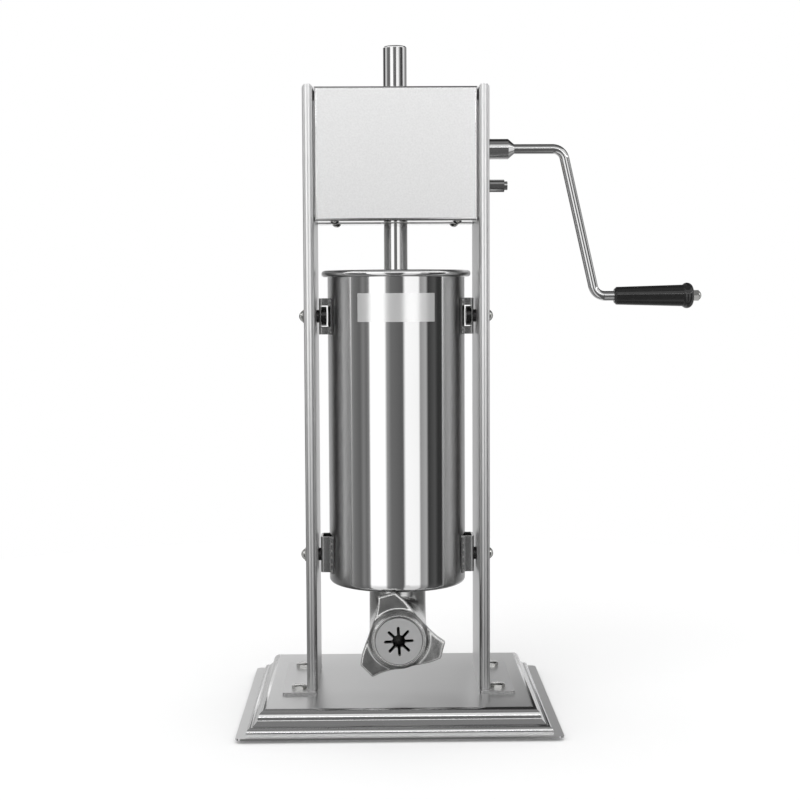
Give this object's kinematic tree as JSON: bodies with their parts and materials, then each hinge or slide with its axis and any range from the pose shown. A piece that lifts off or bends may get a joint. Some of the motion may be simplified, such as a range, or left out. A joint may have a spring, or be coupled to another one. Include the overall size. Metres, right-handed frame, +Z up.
{
  "type": "hand-cranked churro maker",
  "caption": "Upright churro press: a crank and gears drive a toothed rod and piston down a steel cylinder, pushing dough through a star die.",
  "frame": {"origin": "middle of the base, at the bottom of the four rubber feet, where the machine stands", "axes": "+Z up along the cylinder, +X to the side with the crank, -Y to the front, where the nozzle is"},
  "size_m": [0.4742, 0.283, 0.6755],
  "materials": {
    "satin_steel": "satin stainless sheet",
    "mirror_steel": "bright polished stainless sheet",
    "polished_steel": "polished stainless castings and bars",
    "zinc_steel": "plated fasteners",
    "gear_steel": "machined steel",
    "bush_bronze": "sintered bronze",
    "white_plastic": "white food-grade plastic",
    "seal_silicone": "pale silicone",
    "black_plastic": "glossy black moulding",
    "black_rubber": "black rubber"
  },
  "bodies": {
    "stand": {"base_tray": "satin_steel", "rubber_feet": "black_rubber", "base_bolts": "zinc_steel", "base_washers": "zinc_steel", "base_nuts": "zinc_steel", "left_upright": "satin_steel", "right_upright": "satin_steel", "gearbox_chassis": "satin_steel", "rod_guide_plate": "satin_steel", "left_bearing_plate": "satin_steel", "front_cover": "mirror_steel", "rear_cover": "mirror_steel", "cover_screws": "zinc_steel", "cover_nuts": "zinc_steel", "chassis_bolts": "zinc_steel", "chassis_nuts": "zinc_steel", "rod_bush_lower": "white_plastic", "rod_bush_upper": "white_plastic", "shaft_bushes_left": "bush_bronze", "shaft_bushes_right": "bush_bronze", "hook_spools": "black_plastic", "hook_bolts": "zinc_steel", "hook_washers": "zinc_steel", "acorn_nuts": "zinc_steel", "batter_cylinder": "mirror_steel", "cylinder_floor": "mirror_steel", "upper_brackets": "satin_steel", "lower_brackets": "satin_steel", "outlet_spout": "polished_steel", "spout_gasket": "seal_silicone"},
    "rod": {"rack_rod": "polished_steel", "piston_top_plate": "polished_steel", "piston_seal": "seal_silicone", "piston_bottom_plate": "polished_steel", "piston_nut": "zinc_steel", "air_valve_cage": "bush_bronze", "air_valve_spring": "zinc_steel"},
    "valve": {"air_valve_pin": "zinc_steel"},
    "fast": {"fast_shaft": "gear_steel", "rack_pinion": "gear_steel", "fast_gear": "gear_steel", "fast_keys": "gear_steel", "fast_rings": "gear_steel"},
    "slow": {"slow_shaft": "gear_steel", "slow_pinion": "gear_steel", "slow_key": "gear_steel", "slow_rings": "gear_steel"},
    "crank": {"crank_arm": "polished_steel", "grip_nut": "zinc_steel"},
    "handle": {"grip": "black_plastic"},
    "die": {"star_die": "polished_steel"},
    "nut": {"wing_nut": "polished_steel"}
  },
  "joints": [
    {"name": "rod_slide", "type": "slide", "parent": "stand", "child": "rod", "axis": [0, 0, 1], "range_m": [0, 0.32]},
    {"name": "fast_shaft_spin", "type": "hinge", "parent": "stand", "child": "fast", "pos_m": [0, 0.02, 0.5365], "axis": [1, 0, 0], "range_deg": [-1530, 2]},
    {"name": "slow_shaft_spin", "type": "hinge", "parent": "stand", "child": "slow", "pos_m": [0, 0.02, 0.574], "axis": [1, 0, 0], "range_deg": [-2, 3932]},
    {"name": "crank_pull", "type": "slide", "parent": "slow", "child": "crank", "axis": [1, 0, 0], "range_m": [0, 0.03]},
    {"name": "grip_spin", "type": "hinge", "parent": "crank", "child": "handle", "pos_m": [0.27, 0.02, 0.4228], "axis": [1, 0, 0], "continuous": true},
    {"name": "valve_press", "type": "slide", "parent": "rod", "child": "valve", "axis": [0, 0, -1], "range_m": [0, 0.0025], "stiffness_N_per_m": 200, "springref_m": -0.002, "deforming": ["air_valve_spring"]},
    {"name": "die_slide", "type": "slide", "parent": "stand", "child": "die", "axis": [0, -1, 0], "range_m": [0, 0.014]},
    {"name": "nut_spin", "type": "hinge", "parent": "die", "child": "nut", "pos_m": [0, -0.0795, 0.086], "axis": [0, -1, 0], "range_deg": [-2, 1683]}
  ],
  "couplings": [
    {"joint": "fast_shaft_spin", "follows": "rod_slide", "rad_per_m": -83.333},
    {"joint": "slow_shaft_spin", "follows": "rod_slide", "rad_per_m": 214.29},
    {"joint": "nut_spin", "follows": "die_slide", "rad_per_m": 2094.4}
  ]
}
